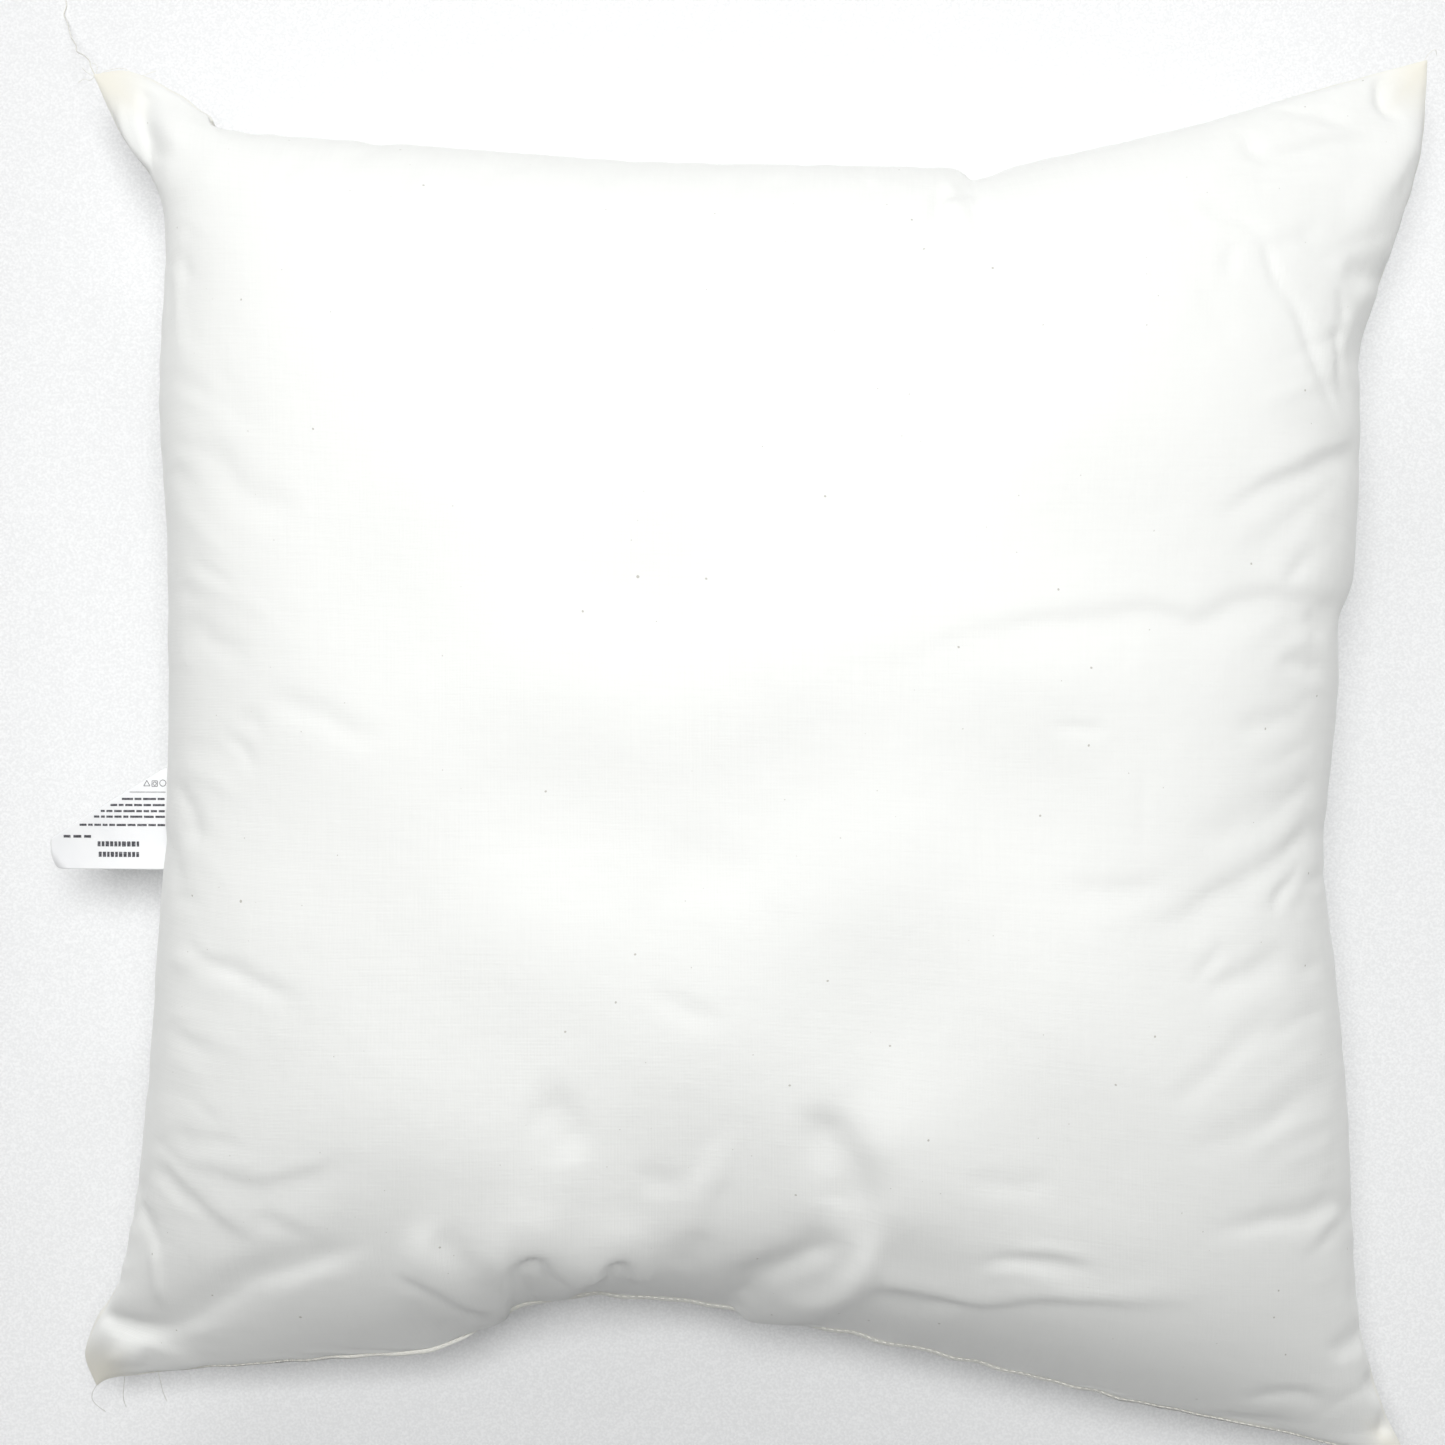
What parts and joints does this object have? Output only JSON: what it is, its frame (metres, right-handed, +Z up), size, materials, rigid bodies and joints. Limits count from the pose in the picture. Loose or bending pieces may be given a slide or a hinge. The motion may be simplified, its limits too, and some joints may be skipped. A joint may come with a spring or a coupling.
{
  "type": "bed pillow",
  "caption": "Square knife-edge bed pillow with soft ears, plump fibre filling, a topstitched closing seam and a folded care label in the side seam.",
  "frame": {"origin": "on the surface that the pillow rests on, below the middle of its flat foot", "axes": "+X to the right, away from the label; +Y to the head side, away from the closing seam; +Z up through the loft"},
  "size_m": [0.5982, 0.64, 0.1957],
  "materials": {
    "ticking": "plain-weave percale, matt white",
    "fibre": "loose siliconised polyester fibre",
    "sewing_thread": "twisted polyester thread, off-white",
    "label_ribbon": "satin ribbon, slight sheen"
  },
  "bodies": {
    "pillow": {"top_panel": "ticking", "bottom_panel": "ticking", "fibre_fill": "fibre", "seam_thread_left": "sewing_thread", "seam_thread_head": "sewing_thread", "seam_thread_right": "sewing_thread", "closing_seam_thread": "sewing_thread", "thread_tail": "sewing_thread"},
    "label": {"care_label": "label_ribbon"}
  },
  "joints": [
    {"name": "label_flap", "type": "hinge", "parent": "pillow", "child": "label", "pos_m": [-0.238, -0.03, 0.092], "axis": [0, 1, 0], "range_deg": [-50, 70], "stiffness_Nm_per_rad": 0.004}
  ]
}
